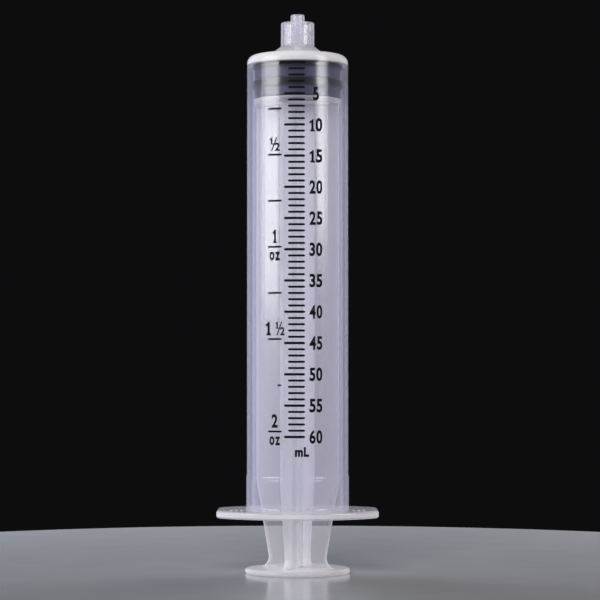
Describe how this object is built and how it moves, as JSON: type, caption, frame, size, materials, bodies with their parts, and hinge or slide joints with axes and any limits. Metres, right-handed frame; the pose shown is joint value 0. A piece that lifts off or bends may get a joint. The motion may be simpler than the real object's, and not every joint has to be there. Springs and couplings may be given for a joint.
{
  "type": "syringe",
  "caption": "Large plastic syringe with a Luer lock tip, a winged finger flange, a rubber stopper and a finned plunger rod that slides and turns, standing tip up on its thumb rest",
  "frame": {"origin": "centre of the thumb rest's flat underside, which is the lowest face", "axes": "+Z along the barrel's axis from the thumb rest to the Luer tip, X along the finger flange's wings, -Y the side that faces the viewer when the scale is read"},
  "size_m": [0.0472, 0.039, 0.164],
  "materials": {
    "barrel_plastic": "milky translucent polypropylene, glossy",
    "stopper_rubber": "dark grey elastomer, lightly siliconised",
    "rod_plastic": "milky white polypropylene, satin"
  },
  "bodies": {
    "barrel": {"barrel": "barrel_plastic"},
    "stopper": {"rubber_stopper": "stopper_rubber"},
    "plunger": {"plunger_rod": "rod_plastic"}
  },
  "joints": [
    {"name": "plunger_spin", "type": "hinge", "parent": "plunger", "child": "stopper", "pos_m": [0, 0, 0.14], "axis": [0, 0, 1], "continuous": true},
    {"name": "plunger_slide", "type": "slide", "parent": "stopper", "child": "barrel", "axis": [0, 0, 1], "range_m": [0, 0.1136]}
  ]
}
